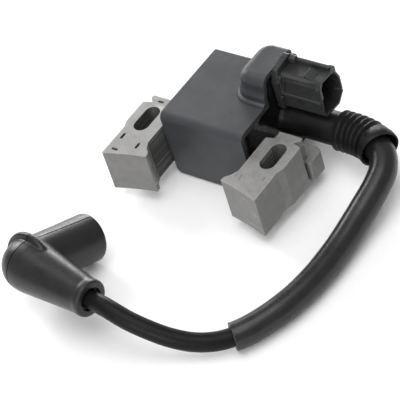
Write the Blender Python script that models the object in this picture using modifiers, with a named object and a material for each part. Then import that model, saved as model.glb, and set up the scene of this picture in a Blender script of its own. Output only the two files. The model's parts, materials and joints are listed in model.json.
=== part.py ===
"""Ignition coil of a small petrol engine, with its HT lead and spark plug cap.

Every feature is dimensioned in millimetres from one datum: X from the middle between
the two bolt slots, Y from the outer pole tips towards the back, and Z from the top face
of the core. point() turns such a place into metres in the part's own frame, whose
origin is the middle of the coil's footprint on the surface it stands on, +Z up.
"""

import math

import bmesh
import bpy
from mathutils import Matrix, Vector

MM = 0.001
GAP = 0.3  # between pieces that touch

# Driving dimensions
BOLT_SPACING = 60.0
SLOT_WIDTH = 6.5
SLOT_TRAVEL = 7.2
SLOT_MIDDLE = 22.6  # from the pole tips
STACK = 19.1  # thickness of the laminated core
FLYWHEEL_RADIUS = 114.4
BODY_DEPTH = 61.0
CASE_BELOW = 24.5  # the case's bottom, under the core's top face
CASE_LOW = Vector((-21.0, 20.4, -CASE_BELOW))
CASE_HIGH = Vector((18.0, BODY_DEPTH, 7.4))
CASE_WALL = 1.8
HOOD_LOW = Vector((4.5, 40.0, 4.0))
HOOD_HIGH = Vector((18.0, 60.0, 18.8))
HOOD_FOOT_LOW = Vector((3.4, 38.7, 4.0))
HOOD_FOOT_HIGH = Vector((18.0, 60.5, 12.2))
BAR_LOW = Vector((-38.4, 31.9, -STACK))
BAR_HIGH = Vector((38.4, 40.9, -9.85))
LEAD_RADIUS = 3.65
SLEEVE_RADIUS = 5.45
SLEEVE_WALL = 1.0
BOOT_RADIUS = 6.7
BOOT_RIB_RADIUS = 7.9
BOOT_MOUTH_RADIUS = 8.2
BOOT_LENGTH = 42.2
BOOT_STRAIGHT = 22.2
BOOT_RIBS = 6
BOOT_RIB_PITCH = 2.4
BOOT_CUP = 4.2  # depth to which the sleeve enters the boot
SLEEVE_LENGTH = 103.8
SOCKET = Vector((18.0, 51.0, -8.5))  # where the lead leaves the case
CAP_ELBOW = Vector((-30.56, -56.0, -4.73))
CAP_MOUTH = Vector((-26.25, -27.69, -15.83))
CAP_NECK = Vector((3.03, -60.6, -5.4))
CAP_MOUTH_RADIUS = 9.6
CAP_NECK_RADIUS = 7.4
CAP_ELBOW_RADIUS = 10.4
CAP_COLLAR_RADIUS = 12.7  # the moulded disc between the elbow and the mouth arm
CAP_PLUG_BORE = 6.7  # radii of the cap's bores
CAP_TERMINAL_BORE = 4.0
CAP_NECK_RECESS = 5.2
LEAD_END = 10.0  # from the cap's elbow to the lead's cut end
TERMINAL_X = 9.9  # the lead's cut end inside the case

# Pole shoe, bolt lug and yoke seat of a leg, across from its slot's centre line
POLE_OUTER, POLE_INNER = 6.2, 12.3
LUG_OUTER = 7.4
LUG_INNER = 8.5
LEG_BACK = 31.3
TAB_BACK = 35.0

# High-voltage transformer, along X behind the yoke bar
TRANSFORMER = Vector((0.0, 51.0, -14.0))
TRANSFORMER_START, TRANSFORMER_END = -15.0, 6.0
CHAMBERS = 5
FLANGE_WALL = 0.6

# Connector: outlines seen along X, as (Y, Z)
CONNECTOR_START, CONNECTOR_END = 19.6, 38.4
TAIL_LOW = Vector((9.4, 49.2, 3.2))
TAIL_HIGH = Vector((18.6, 57.4, 16.0))
MOUTH = [(48.3, 0.0), (47.0, 1.8), (47.2, 8.3), (47.8, 13.6), (49.8, 16.4), (58.6, 15.6),
         (60.9, 10.2), (60.9, 2.8), (57.0, -0.7)]
FLANGE = [(46.2, 0.4), (45.8, 13.0), (47.6, 18.6), (56.8, 19.4), (60.9, 16.0), (61.0, 1.6),
          (59.2, -0.5), (47.2, -0.5)]
PIN_ROWS = (51.2, 55.8)
PIN_LEVELS = (5.4, 11.0)
PIN_START, PIN_END = 9.1, 31.0
PIN_HALF_WIDTH, PIN_HALF_HEIGHT = 0.4, 1.0

# The lead's free run, from the end of the straight boot to just before the cap
FREE_RUN = [
    (49.5, 50.8, -8.6), (56.5, 49.4, -9.0), (62.1, 46.0, -9.9), (65.4, 40.3, -11.4),
    (66.3, 33.3, -13.2), (66.2, 26.0, -15.1), (66.0, 18.0, -16.8), (66.0, 9.0, -18.1),
    (65.9, 0.0, -18.8), (65.5, -9.0, -19.0), (64.4, -18.0, -19.0), (62.3, -27.0, -19.0),
    (59.1, -35.5, -19.0), (54.9, -43.5, -18.9), (49.3, -50.2, -18.4), (42.4, -55.3, -16.8),
    (34.6, -58.8, -14.0), (26.7, -60.8, -10.9), (19.0, -61.8, -8.1),
]

bpy.context.view_layer.update()
for leftover in list(bpy.data.objects):
    bpy.data.objects.remove(leftover, do_unlink=True)


def collection(name):
    made = bpy.data.collections.new(name)
    bpy.context.scene.collection.children.link(made)
    return made


COIL = collection("ignition_coil")
CUTTERS = collection("cutters")


# ---------------------------------------------------------------- materials

def material(name, colour, roughness, metallic=0.0):
    made = bpy.data.materials.new(name)
    made.use_nodes = True
    shader = made.node_tree.nodes["Principled BSDF"]
    shader.inputs["Base Color"].default_value = (*colour, 1.0)
    shader.inputs["Roughness"].default_value = roughness
    shader.inputs["Metallic"].default_value = metallic
    made.diffuse_color = (*colour, 1.0)
    return made


def core_steel(name):
    return material(name, (0.40, 0.395, 0.385), 0.55, 0.6)


def case_plastic(name):
    return material(name, (0.055, 0.058, 0.066), 0.42)


def black_plastic(name):
    return material(name, (0.014, 0.015, 0.016), 0.25)


def black_rubber(name):
    return material(name, (0.02, 0.02, 0.021), 0.5)


def epoxy(name):
    return material(name, (0.008, 0.008, 0.009), 0.1)


def copper(name):
    return material(name, (0.62, 0.27, 0.11), 0.3, 1.0)


def brass(name):
    return material(name, (0.72, 0.52, 0.22), 0.3, 1.0)


def tinned(name):
    return material(name, (0.68, 0.68, 0.66), 0.3, 1.0)


def bobbin_plastic(name):
    return material(name, (0.62, 0.58, 0.45), 0.5)


def ferrite(name):
    return material(name, (0.06, 0.06, 0.065), 0.6)


def laminate(name):
    return material(name, (0.03, 0.16, 0.07), 0.45)


def ceramic(name):
    return material(name, (0.72, 0.70, 0.64), 0.4)


# ---------------------------------------------------------------- places and objects

def point(place):
    """A datum place in millimetres as a point of the part's frame in metres."""
    return Vector((place[0], place[1] - BODY_DEPTH / 2, place[2] + CASE_BELOW)) * MM


def add(name, mesh, origin=(0.0, 0.0, 0.0), turn=None, finish=None, where=None):
    made = bpy.data.objects.new(name, mesh)
    made.matrix_world = Matrix.Translation(origin) @ (turn or Matrix()).to_4x4()
    (where or COIL).objects.link(made)
    if finish:
        mesh.materials.append(finish(name))
    return made


def facing(direction, side=Vector((0.0, 0.0, 1.0))):
    """A rotation whose local +Z runs along direction."""
    z = Vector(direction).normalized()
    if abs(z.dot(side)) > 0.99:
        side = Vector((1.0, 0.0, 0.0))
    x = side.cross(z).normalized()
    return Matrix((x, z.cross(x), z)).transposed()


def smooth(made, angle=40.0):
    made.data.shade_smooth()
    made.data.set_sharp_from_angle(angle=math.radians(angle))
    return made


def as_cutter(made):
    for holder in list(made.users_collection):
        holder.objects.unlink(made)
    CUTTERS.objects.link(made)
    made.hide_render = True
    made.display_type = "WIRE"
    return made


def boolean(target, tools, operation):
    for tool in tools:
        step = target.modifiers.new(f"{operation.lower()}_{tool.name}", "BOOLEAN")
        step.operation = operation
        step.object = as_cutter(tool)
    return target


def cut(target, *tools):
    return boolean(target, tools, "DIFFERENCE")


def join(target, *tools):
    return boolean(target, tools, "UNION")


def block(name, low, high, rounding=0.0, segments=2, keep_sharp=None, finish=None):
    """A box between two corners. keep_sharp gives the face direction whose edges stay square."""
    low, high = Vector(low), Vector(high)
    size = (high - low) * MM
    shape = bmesh.new()
    bmesh.ops.create_cube(shape, size=1.0)
    bmesh.ops.scale(shape, vec=size, verts=shape.verts)
    if rounding:
        chosen = list(shape.edges)
        if keep_sharp:
            face = Vector(keep_sharp)
            reach = max(v.co.dot(face) for v in shape.verts) - 1e-6
            chosen = [e for e in chosen if min(v.co.dot(face) for v in e.verts) < reach]
        bmesh.ops.bevel(shape, geom=chosen, offset=rounding * MM, segments=segments,
                        profile=0.5, affect="EDGES", clamp_overlap=True)
    mesh = bpy.data.meshes.new(name)
    shape.to_mesh(mesh)
    shape.free()
    return smooth(add(name, mesh, point((low + high) / 2), finish=finish))


def rod(name, start, end, radius, sides=24, finish=None, end_radius=None):
    """A straight round bar, or a cone where end_radius differs."""
    start, end = Vector(start), Vector(end)
    shape = bmesh.new()
    bmesh.ops.create_cone(shape, cap_ends=True, segments=sides, radius1=radius * MM,
                          radius2=(end_radius or radius) * MM, depth=(end - start).length * MM)
    mesh = bpy.data.meshes.new(name)
    shape.to_mesh(mesh)
    shape.free()
    return smooth(add(name, mesh, point((start + end) / 2), facing(end - start), finish))


def turned(name, origin, direction, profile, sides=24, finish=None):
    """A turned shape. profile lists (radius, distance along direction), outer side top to bottom."""
    mesh = bpy.data.meshes.new(name)
    rim = [(radius * MM, 0.0, along * MM) for radius, along in profile]
    closed = profile[0][0] > 0.0
    edges = [(i, i + 1) for i in range(len(rim) - 1)]
    if closed:
        edges.append((len(rim) - 1, 0))
    mesh.from_pydata(rim, edges, [])
    made = add(name, mesh, point(origin), facing(direction), finish)
    spin = made.modifiers.new("turn", "SCREW")
    spin.steps = spin.render_steps = sides
    spin.use_merge_vertices = True
    spin.merge_threshold = 0.00001
    spin.use_smooth_shade = True
    return made


def to_mesh(curve_object, finish=None):
    """The evaluated curve as a welded mesh object of the same name."""
    bpy.context.view_layer.update()
    seen = curve_object.evaluated_get(bpy.context.evaluated_depsgraph_get())
    mesh = bpy.data.meshes.new_from_object(seen)
    name, place = curve_object.name, curve_object.matrix_world.copy()
    bpy.data.objects.remove(curve_object, do_unlink=True)
    shape = bmesh.new()
    shape.from_mesh(mesh)
    bmesh.ops.remove_doubles(shape, verts=shape.verts, dist=0.00001)
    shape.to_mesh(mesh)
    shape.free()
    mesh.materials.clear()
    made = add(name, mesh, finish=finish)
    made.matrix_world = place
    return made


# Outlines are drawn flat and pushed along X (points are Y, Z) or along Z (points are X, Y)
PUSH = {
    "X": Matrix(((0, 0, 1), (1, 0, 0), (0, 1, 0))),
    "Z": Matrix(((1, 0, 0), (0, 1, 0), (0, 0, 1))),
}


def prism(name, outline, low, high, along="Z", finish=None):
    flat = bpy.data.curves.new(name, "CURVE")
    flat.dimensions = "2D"
    flat.fill_mode = "BOTH"
    flat.extrude = (high - low) / 2 * MM
    line = flat.splines.new("POLY")
    line.points.add(len(outline) - 1)
    for spot, (a, b) in zip(line.points, outline):
        spot.co = (a * MM, b * MM, 0.0, 1.0)
    line.use_cyclic_u = True
    middle = (low + high) / 2
    origin = point((middle, 0, 0) if along == "X" else (0, 0, middle))
    return to_mesh(add(name, flat, origin, PUSH[along].to_4x4()), finish)


def arc(centre, radius, start, end, steps):
    """Points on a circle, from one angle in degrees to another."""
    angles = [math.radians(start + (end - start) * i / steps) for i in range(steps + 1)]
    return [(centre[0] + radius * math.cos(a), centre[1] + radius * math.sin(a)) for a in angles]


def mirrored(outline):
    return [(-x, y) for x, y in reversed(outline)]


# ---------------------------------------------------------------- routes and tubes

def smooth_route(places, fine=10):
    """A centripetal Catmull-Rom curve through the places, as a dense list of points."""
    places = [Vector(p) for p in places]
    ends = [places[0] * 2 - places[1], *places, places[-1] * 2 - places[-2]]
    dense = []
    for a, b, c, d in zip(ends, ends[1:], ends[2:], ends[3:]):
        knots = [0.0]
        for start, end in ((a, b), (b, c), (c, d)):
            knots.append(knots[-1] + math.sqrt((end - start).length))
        for i in range(fine):
            t = knots[1] + (knots[2] - knots[1]) * i / fine
            dense.append(between(a, b, c, d, knots, t))
    return dense + [places[-1]]


def between(a, b, c, d, knots, t):
    t0, t1, t2, t3 = knots
    ab = a.lerp(b, (t - t0) / (t1 - t0))
    bc = b.lerp(c, (t - t1) / (t2 - t1))
    cd = c.lerp(d, (t - t2) / (t3 - t2))
    abc = ab.lerp(bc, (t - t0) / (t2 - t0))
    bcd = bc.lerp(cd, (t - t1) / (t3 - t1))
    return abc.lerp(bcd, (t - t1) / (t2 - t1))


def distances(dense):
    marks = [0.0]
    for start, end in zip(dense, dense[1:]):
        marks.append(marks[-1] + (end - start).length)
    return marks


def along_route(dense, stations):
    """Points at the given distances along a dense route."""
    marks = distances(dense)
    found = []
    for station in stations:
        i = 1
        while i < len(marks) - 1 and marks[i] < station:
            i += 1
        share = (station - marks[i - 1]) / (marks[i] - marks[i - 1])
        found.append(dense[i - 1].lerp(dense[i], share))
    return found


def even(start, end, step):
    count = max(1, round((end - start) / step))
    return [start + (end - start) * i / count for i in range(count + 1)]


def tube(name, places, radius, swell=None, resolution=4, capped=True, finish=None):
    """A round tube through the places. swell gives the radius at each one as a share of radius."""
    wire = bpy.data.curves.new(name, "CURVE")
    wire.dimensions = "3D"
    wire.bevel_depth = radius * MM
    wire.bevel_resolution = resolution
    wire.use_fill_caps = capped
    wire.twist_mode = "MINIMUM"
    line = wire.splines.new("POLY")
    line.points.add(len(places) - 1)
    for i, place in enumerate(places):
        line.points[i].co = (*point(place), 1.0)
        line.points[i].radius = swell[i] if swell else 1.0
    made = add(name, wire)
    return to_mesh(made, finish)


# ---------------------------------------------------------------- the laminated core

def leg_outline():
    """The right leg's lamination: pole shoe and its nose, jogged outer side, back corners."""
    half = BOLT_SPACING / 2
    tip_outer, tip_inner = half + POLE_OUTER, half - POLE_INNER
    centre = -FLYWHEEL_RADIUS * math.cos(math.asin(tip_outer / FLYWHEEL_RADIUS))
    angles = [math.degrees(math.acos(x / FLYWHEEL_RADIUS)) for x in (tip_inner, tip_outer)]
    pole = arc((0.0, centre), FLYWHEEL_RADIUS, *angles, 6)
    side = [(tip_outer, 15.5), (half + LUG_OUTER, 18.7), (half + LUG_OUTER, 30.4)]
    back = [(half + 3.6, LEG_BACK), (half - 4.5, LEG_BACK), (half - LUG_INNER, 30.4)]
    nose = [(half - LUG_INNER, 11.6), (half - 10.0, 8.6), (half - 12.0, 6.6)]
    return pole + side + back + nose


def tab_outline():
    """The dovetail tab at the back of a leg's upper half, over the yoke bar."""
    half = BOLT_SPACING / 2
    root, back = 29.0, TAB_BACK
    return [(half + 3.6, root), (half + 3.6, LEG_BACK), (half + 5.5, 33.4), (half + 5.4, back),
            (half - 5.2, back), (half - 4.5, LEG_BACK), (half - 4.5, root)]


def slot_outline():
    radius, reach = SLOT_WIDTH / 2, SLOT_TRAVEL / 2
    ends = arc((0.0, SLOT_MIDDLE + reach), radius, 0, 180, 8)
    return ends + arc((0.0, SLOT_MIDDLE - reach), radius, 180, 360, 8)


def core_leg(name, side):
    outline, tab = leg_outline(), tab_outline()
    slot = [(BOLT_SPACING / 2 + x, y) for x, y in slot_outline()]
    if side < 0:
        outline, tab, slot = mirrored(outline), mirrored(tab), mirrored(slot)
    leg = prism(name, outline, -STACK, 0.0, finish=core_steel)
    join(leg, prism(f"{name}_tab", tab, BAR_HIGH.z + GAP, 0.0))
    cut(leg, prism(f"{name}_slot", slot, -STACK - 1.0, 1.0))
    return smooth(leg, 30.0)


def core():
    core_leg("right_core_leg", 1)
    core_leg("left_core_leg", -1)
    block("core_bar", BAR_LOW, BAR_HIGH, 1.2, 2, finish=core_steel)


# ---------------------------------------------------------------- case, hood and potting

def grown(low, high, by):
    margin = Vector((by, by, by))
    return Vector(low) - margin, Vector(high) + margin


def bar_hole(name, start, end, margin=GAP):
    return block(name, (start, BAR_LOW.y - margin, BAR_LOW.z - margin),
                 (end, BAR_HIGH.y + margin, BAR_HIGH.z + margin))


def coil_case():
    """The moulded case, closed at -X and open at +X, with the hood over its back corner."""
    case = block("coil_case", CASE_LOW, CASE_HIGH, 3.2, 3, (1, 0, 0), case_plastic)
    join(case, block("hood_foot", HOOD_FOOT_LOW, HOOD_FOOT_HIGH, 3.5, 3, (1, 0, 0)),
         block("hood_shell", HOOD_LOW, HOOD_HIGH, 4.0, 3, (1, 0, 0)))
    wall = Vector((CASE_WALL, CASE_WALL, CASE_WALL))
    open_end = Vector((1.0 + CASE_WALL, 0.0, 0.0))
    cut(case, block("case_hollow", CASE_LOW + wall, CASE_HIGH - wall + open_end, 1.5, 2, (1, 0, 0)),
        block("hood_hollow", HOOD_LOW + Vector((CASE_WALL, CASE_WALL, -1.0)),
              HOOD_HIGH - wall + open_end, 2.2, 2, (1, 0, 0)),
        bar_hole("case_bar_hole", CASE_LOW.x - 1.0, CASE_LOW.x + CASE_WALL + 1.0))
    return smooth(case, 35.0)


def potting():
    """The epoxy fill, with pockets that open towards the case's closed end."""
    inset = CASE_WALL + GAP
    level = CASE_HIGH.x - 0.9
    low = CASE_LOW + Vector((inset, inset, inset))
    high = Vector((level, CASE_HIGH.y - inset, CASE_HIGH.z - inset))
    fill = block("potting", low, high, 1.5, 2, (1, 0, 0), epoxy)
    hood_low = HOOD_LOW + Vector((inset, inset, -1.0))
    hood_high = Vector((level, HOOD_HIGH.y - inset, HOOD_HIGH.z - inset))
    join(fill, block("potting_hood", hood_low, hood_high, 2.2, 2, (1, 0, 0)))
    back = low.x - 1.0
    cut(fill, block("charge_pocket", (back, 29.1, -21.9), (11.2, 43.6, -6.9)),
        rod("transformer_pocket", (back, *TRANSFORMER.yz), (7.3, *TRANSFORMER.yz), 6.4, 20),
        block("circuit_pocket", (back, 26.0, -5.8), (9.3, 57.6, 4.0)),
        block("board_pocket", (back, 41.0, 3.0), (9.5, 58.2, 18.0)),
        block("tail_pocket", *grown(TAIL_LOW, TAIL_HIGH, GAP)),
        rod("lead_pocket", (7.0, *SOCKET.yz), (level + 1.0, *SOCKET.yz), LEAD_RADIUS + 0.4),
        bar_hole("potting_bar_hole", back, level + 1.0))
    return smooth(fill, 35.0)


# ---------------------------------------------------------------- inside the case

def ring_of(name, low, high, hole_low, hole_high, finish, flange=0.0, flange_depth=1.0):
    """A square tube along X round a bar, with an optional flange at each end."""
    body = block(name, low, high, finish=finish)
    if flange:
        for label, start in (("near", low[0]), ("far", high[0] - flange_depth)):
            join(body, block(f"{name}_{label}", (start, low[1] - flange, low[2] - flange),
                             (start + flange_depth, high[1] + flange, high[2] + flange)))
    cut(body, block(f"{name}_hole", (low[0] - 1, *hole_low), (high[0] + 1, *hole_high)))
    return body


def charge_coil():
    """Bobbin and winding round the yoke bar, which feed the electronics from the flywheel."""
    start, end, wall, turns = -15.0, 10.9, 0.7, 1.2
    inner = (BAR_LOW.y - GAP, BAR_LOW.z - GAP), (BAR_HIGH.y + GAP, BAR_HIGH.z + GAP)
    low = (start, inner[0][0] - wall, inner[0][1] - wall)
    high = (end, inner[1][0] + wall, inner[1][1] + wall)
    ring_of("charge_bobbin", low, high, *inner, bobbin_plastic, flange=turns)
    hole = (low[1] - GAP, low[2] - GAP), (high[1] + GAP, high[2] + GAP)
    wind_low = (start + 1.0 + GAP, low[1] - turns, low[2] - turns)
    wind_high = (end - 1.0 - GAP, high[1] + turns, high[2] + turns)
    ring_of("charge_winding", wind_low, wind_high, *hole, copper)


def hv_transformer():
    """Ferrite rod, primary and a secondary wound in chambers, along X beside the yoke bar."""
    start, end = TRANSFORMER_START, TRANSFORMER_END
    axis = (1, 0, 0)
    rod("ferrite_rod", (start, *TRANSFORMER.yz), (end, *TRANSFORMER.yz), 1.8, 16, ferrite)
    turned("primary_bobbin", TRANSFORMER, axis,
           [(3.4, end), (3.4, end - 0.8), (2.6, end - 0.8), (2.6, start + 0.8),
            (3.4, start + 0.8), (3.4, start), (2.1, start), (2.1, end)], 16, bobbin_plastic)
    turned("primary_winding", TRANSFORMER, axis,
           [(3.4, end - 1.1), (3.4, start + 1.1), (2.9, start + 1.1), (2.9, end - 1.1)],
           16, copper)
    pitch = (end - start) / CHAMBERS
    rim = []
    for i in range(CHAMBERS):
        top = end - i * pitch
        rim += [(6.0, top), (6.0, top - FLANGE_WALL), (4.4, top - FLANGE_WALL), (4.4, top - pitch)]
    rim[-1:] = [(4.4, start + FLANGE_WALL), (6.0, start + FLANGE_WALL), (6.0, start),
                (3.7, start), (3.7, end)]
    turned("secondary_bobbin", TRANSFORMER, axis, rim, 16, bobbin_plastic)
    for i in range(CHAMBERS):
        top = end - i * pitch - FLANGE_WALL - GAP
        low = end - (i + 1) * pitch + GAP + (FLANGE_WALL if i == CHAMBERS - 1 else 0.0)
        turned(f"secondary_winding_{i + 1}", TRANSFORMER, axis,
               [(5.9, top), (5.9, low), (4.7, low), (4.7, top)], 16, copper)
    rod("ht_terminal", (7.6, *SOCKET.yz), (9.6, *SOCKET.yz), 2.6, 16, brass)


def electronics():
    """The controller board, standing behind the connector, and the parts in front of it."""
    block("circuit_board", (7.6, 43.0, -5.0), (8.8, 57.0, 15.2), finish=laminate)
    block("charge_capacitor", (-14.0, 27.0, -5.0), (2.0, 41.0, 3.4), 0.6, 1, finish=ferrite)
    block("control_chip", (5.9, 46.0, -3.6), (7.3, 54.0, 2.4), 0.2, 1, finish=ferrite)
    block("thyristor", (-2.0, 44.0, -5.0), (2.6, 48.6, 1.0), 0.4, 1, finish=ferrite)
    for i in range(2):
        y = 51.6 + i * 4.0
        rod(f"rectifier_diode_{i + 1}", (-3.6, y, -3.0), (1.6, y, -3.0), 1.4, 12, ferrite)


# ---------------------------------------------------------------- connector

def scaled(outline, share_y, share_z):
    y0 = (min(p[0] for p in outline) + max(p[0] for p in outline)) / 2
    z0 = (min(p[1] for p in outline) + max(p[1] for p in outline)) / 2
    return [(y0 + (y - y0) * share_y, z0 + (z - z0) * share_z) for y, z in outline]


def connector():
    """The four-way socket housing: tail in the hood, flange over its mouth, open socket at +X."""
    start, end = CONNECTOR_START, CONNECTOR_END
    housing = prism("connector_housing", MOUTH, start, end, "X", black_plastic)
    join(housing, prism("connector_flange", FLANGE, CASE_HIGH.x + GAP, start + 0.6, "X"),
         block("connector_tail", TAIL_LOW, (start + 0.3, *TAIL_HIGH.yz)),
         block("connector_latch", (30.6, 49.9, 15.4), (33.8, 54.4, 18.4)),
         block("connector_rail", (19.9, 56.6, 14.9), (36.9, 58.4, 17.4)))
    cut(housing, prism("connector_socket", scaled(MOUTH, 0.77, 0.83), 23.0, end + 1.0, "X"))
    number = 0
    for y in PIN_ROWS:
        for z in PIN_LEVELS:
            number += 1
            low = Vector((PIN_START, y - PIN_HALF_WIDTH, z - PIN_HALF_HEIGHT))
            high = Vector((PIN_END, y + PIN_HALF_WIDTH, z + PIN_HALF_HEIGHT))
            block(f"connector_pin_{number}", low, high, finish=tinned)
            cut(housing, block(f"pin_hole_{number}", *grown(low, high, GAP)))
    return smooth(housing, 25.0)


# ---------------------------------------------------------------- lead, boot and sleeve

def cap_axes():
    return (CAP_NECK - CAP_ELBOW).normalized(), (CAP_MOUTH - CAP_ELBOW).normalized()


def lead_route():
    """From the HT terminal, out of the case, round to the cap and straight into its neck."""
    neck, _ = cap_axes()
    straight = [(x, *SOCKET.yz) for x in (TERMINAL_X, 18.0, 26.0, 34.0, 42.0)]
    into_cap = [CAP_ELBOW + neck * d for d in (42.0, 34.0, 26.0, 18.0, LEAD_END)]
    return smooth_route(straight + FREE_RUN + into_cap)


def lead_boot(route, base):
    """The strain relief: a straight stub, bellows ribs and a cup that takes the sleeve."""
    stations, radii = [0.0, BOOT_STRAIGHT], [BOOT_RADIUS, BOOT_RADIUS]
    for i in range(BOOT_RIBS):
        start = BOOT_STRAIGHT + i * BOOT_RIB_PITCH
        stations += [start + BOOT_RIB_PITCH * share for share in (0.2, 0.4, 0.8, 1.0)]
        radii += [BOOT_RADIUS, BOOT_RIB_RADIUS, BOOT_RIB_RADIUS, BOOT_RADIUS]
    stations += [stations[-1] + 0.8, BOOT_LENGTH]
    radii += [BOOT_RIB_RADIUS, BOOT_MOUTH_RADIUS]
    places = along_route(route, [base + s for s in stations])
    boot = tube("lead_boot", places, BOOT_RADIUS, [r / BOOT_RADIUS for r in radii], 6,
                finish=black_rubber)
    bore = along_route(route, [base + s for s in even(-1.0, BOOT_LENGTH + 1.0, 3.0)])
    cup_start, past_end = BOOT_LENGTH - BOOT_CUP, BOOT_LENGTH + 1.5
    cup = along_route(route, [base + s for s in even(cup_start, past_end, 2.5)])
    cut(boot, tube("boot_bore", bore, LEAD_RADIUS + 0.6, resolution=4),
        tube("boot_cup", cup, SLEEVE_RADIUS + 0.5, resolution=5))
    return smooth(boot, 35.0)


def stations_between(start, end):
    """Distances along the lead, close together round its one tight bend."""
    bend_start, bend_end = BOOT_STRAIGHT + 5.0, BOOT_STRAIGHT + 50.0
    marks = [start, *[b for b in (bend_start, bend_end) if start < b < end], end]
    found = [start]
    for low, high in zip(marks, marks[1:]):
        step = 3.5 if bend_start <= low < bend_end else 8.0
        found += even(low, high, step)[1:]
    return found


def lead_sleeve(route, start):
    places = along_route(route, stations_between(start, start + SLEEVE_LENGTH))
    sleeve = tube("lead_sleeve", places, SLEEVE_RADIUS, resolution=4, capped=False,
                  finish=black_rubber)
    wall = sleeve.modifiers.new("wall", "SOLIDIFY")
    wall.thickness = SLEEVE_WALL * MM
    wall.offset = -1.0
    return smooth(sleeve, 35.0)


def lead():
    route = lead_route()
    boot_start = SOCKET.x - TERMINAL_X + GAP
    lead_boot(route, boot_start)
    lead_sleeve(route, boot_start + BOOT_LENGTH - BOOT_CUP + 0.5)
    total = distances(route)[-1]
    places = along_route(route, stations_between(0.0, total))
    smooth(tube("ht_lead", places, LEAD_RADIUS, resolution=4, finish=black_rubber), 35.0)


# ---------------------------------------------------------------- spark plug cap

def plug_cap():
    """The elbow cap and what it holds. Everything here swivels about the lead's axis."""
    neck, mouth = cap_axes()
    neck_length = (CAP_NECK - CAP_ELBOW).length
    mouth_length = (CAP_MOUTH - CAP_ELBOW).length
    dome = [(x, -y) for x, y in arc((0.0, 0.0), CAP_ELBOW_RADIUS, 0, 75, 4)]
    cap = turned("plug_cap_boot", CAP_ELBOW, neck,
                 [(0.0, neck_length), (6.2, neck_length), (CAP_NECK_RADIUS, neck_length - 1.2),
                  (CAP_NECK_RADIUS, neck_length - 4.0), (CAP_ELBOW_RADIUS, 2.0), *dome,
                  (0.0, -CAP_ELBOW_RADIUS)], 24, black_rubber)
    join(cap, turned("cap_mouth_arm", CAP_ELBOW, mouth,
                     [(0.0, mouth_length), (CAP_MOUTH_RADIUS - 0.4, mouth_length),
                      (CAP_MOUTH_RADIUS, mouth_length - 1.0), (CAP_MOUTH_RADIUS, 3.2),
                      (CAP_COLLAR_RADIUS, 2.0), (CAP_COLLAR_RADIUS, -0.2),
                      (CAP_COLLAR_RADIUS - 0.9, -0.7), (0.0, -0.7)], 24))
    cut(cap, rod("cap_mouth_bore", CAP_ELBOW + mouth * 2.0, CAP_MOUTH + mouth, CAP_PLUG_BORE, 20),
        rod("cap_terminal_bore", CAP_ELBOW - mouth * 4.5, CAP_ELBOW + mouth * 3.0,
            CAP_TERMINAL_BORE, 16),
        rod("cap_lead_bore", CAP_ELBOW, CAP_NECK + neck, LEAD_RADIUS + 0.35, 20),
        rod("cap_neck_recess", CAP_NECK - neck * 2.5, CAP_NECK + neck, CAP_NECK_RECESS, 20))
    pieces = [smooth(cap, 35.0)]
    pieces.append(turned("cap_lead_screw", CAP_ELBOW, neck,
                         [(0.0, LEAD_END - GAP), (1.6, LEAD_END - 2.0), (1.6, 2.9), (0.0, 2.9)],
                         12, brass))
    pieces.append(rod("cap_elbow_terminal", CAP_ELBOW - mouth * 3.6, CAP_ELBOW + mouth * 2.6, 2.6,
                      16, brass))
    pieces.append(rod("cap_resistor", CAP_ELBOW + mouth * 2.9, CAP_ELBOW + mouth * 12.0, 2.6,
                      16, ceramic))
    coils, wire = 3, []
    across = facing(mouth)
    for i in range(coils * 10 + 1):
        a = 2 * math.pi * i / 10
        spot = across @ Vector((2.1 * math.cos(a), 2.1 * math.sin(a), 12.9 + 3.2 * i / (coils * 10)))
        wire.append(CAP_ELBOW + spot)
    pieces.append(tube("cap_spring", wire, 0.35, resolution=1, finish=tinned))
    pieces.append(turned("cap_plug_clip", CAP_ELBOW, mouth,
                         [(4.6, 24.6), (4.6, 17.2), (3.2, 17.2), (3.2, 24.6)], 20, brass))
    holder = bpy.data.objects.new("plug_cap_swivel", None)
    COIL.objects.link(holder)
    holder.location = point(CAP_ELBOW)
    bpy.context.view_layer.update()
    for piece in pieces:
        piece.parent = holder
        piece.matrix_parent_inverse = holder.matrix_world.inverted()


core()
coil_case()
potting()
charge_coil()
hv_transformer()
electronics()
connector()
lead()
plug_cap()
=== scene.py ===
"""Looks of the ignition coil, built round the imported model: metres, +Z up, row frame."""
import json
import math
import random

import bmesh
import bpy
from mathutils import Matrix, Vector


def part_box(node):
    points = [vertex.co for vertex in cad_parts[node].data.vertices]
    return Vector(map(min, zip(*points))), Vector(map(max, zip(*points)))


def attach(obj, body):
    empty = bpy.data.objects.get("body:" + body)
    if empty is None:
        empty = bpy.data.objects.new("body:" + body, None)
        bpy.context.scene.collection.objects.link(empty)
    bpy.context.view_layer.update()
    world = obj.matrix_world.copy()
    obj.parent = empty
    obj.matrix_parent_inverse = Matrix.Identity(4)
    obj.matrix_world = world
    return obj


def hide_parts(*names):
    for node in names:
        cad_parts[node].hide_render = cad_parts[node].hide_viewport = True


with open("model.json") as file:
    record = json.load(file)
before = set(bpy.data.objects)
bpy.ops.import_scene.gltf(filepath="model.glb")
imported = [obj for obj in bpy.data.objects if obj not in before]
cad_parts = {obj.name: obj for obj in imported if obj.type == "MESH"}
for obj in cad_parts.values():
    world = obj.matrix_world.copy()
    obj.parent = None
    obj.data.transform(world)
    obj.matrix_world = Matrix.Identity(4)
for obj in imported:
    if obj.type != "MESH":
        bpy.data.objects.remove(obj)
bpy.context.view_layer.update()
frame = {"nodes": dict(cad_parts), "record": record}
RECORD = frame["record"]
COIL, CAP = "coil", "plug_cap"
MM = 0.001
RANDOM = random.Random(7)


# ---------------------------------------------------------------- places taken from the frame

def node_box(node):
    """A node's corners in millimetres."""
    low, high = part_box(node)
    return Vector(low) / MM, Vector(high) / MM


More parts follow.
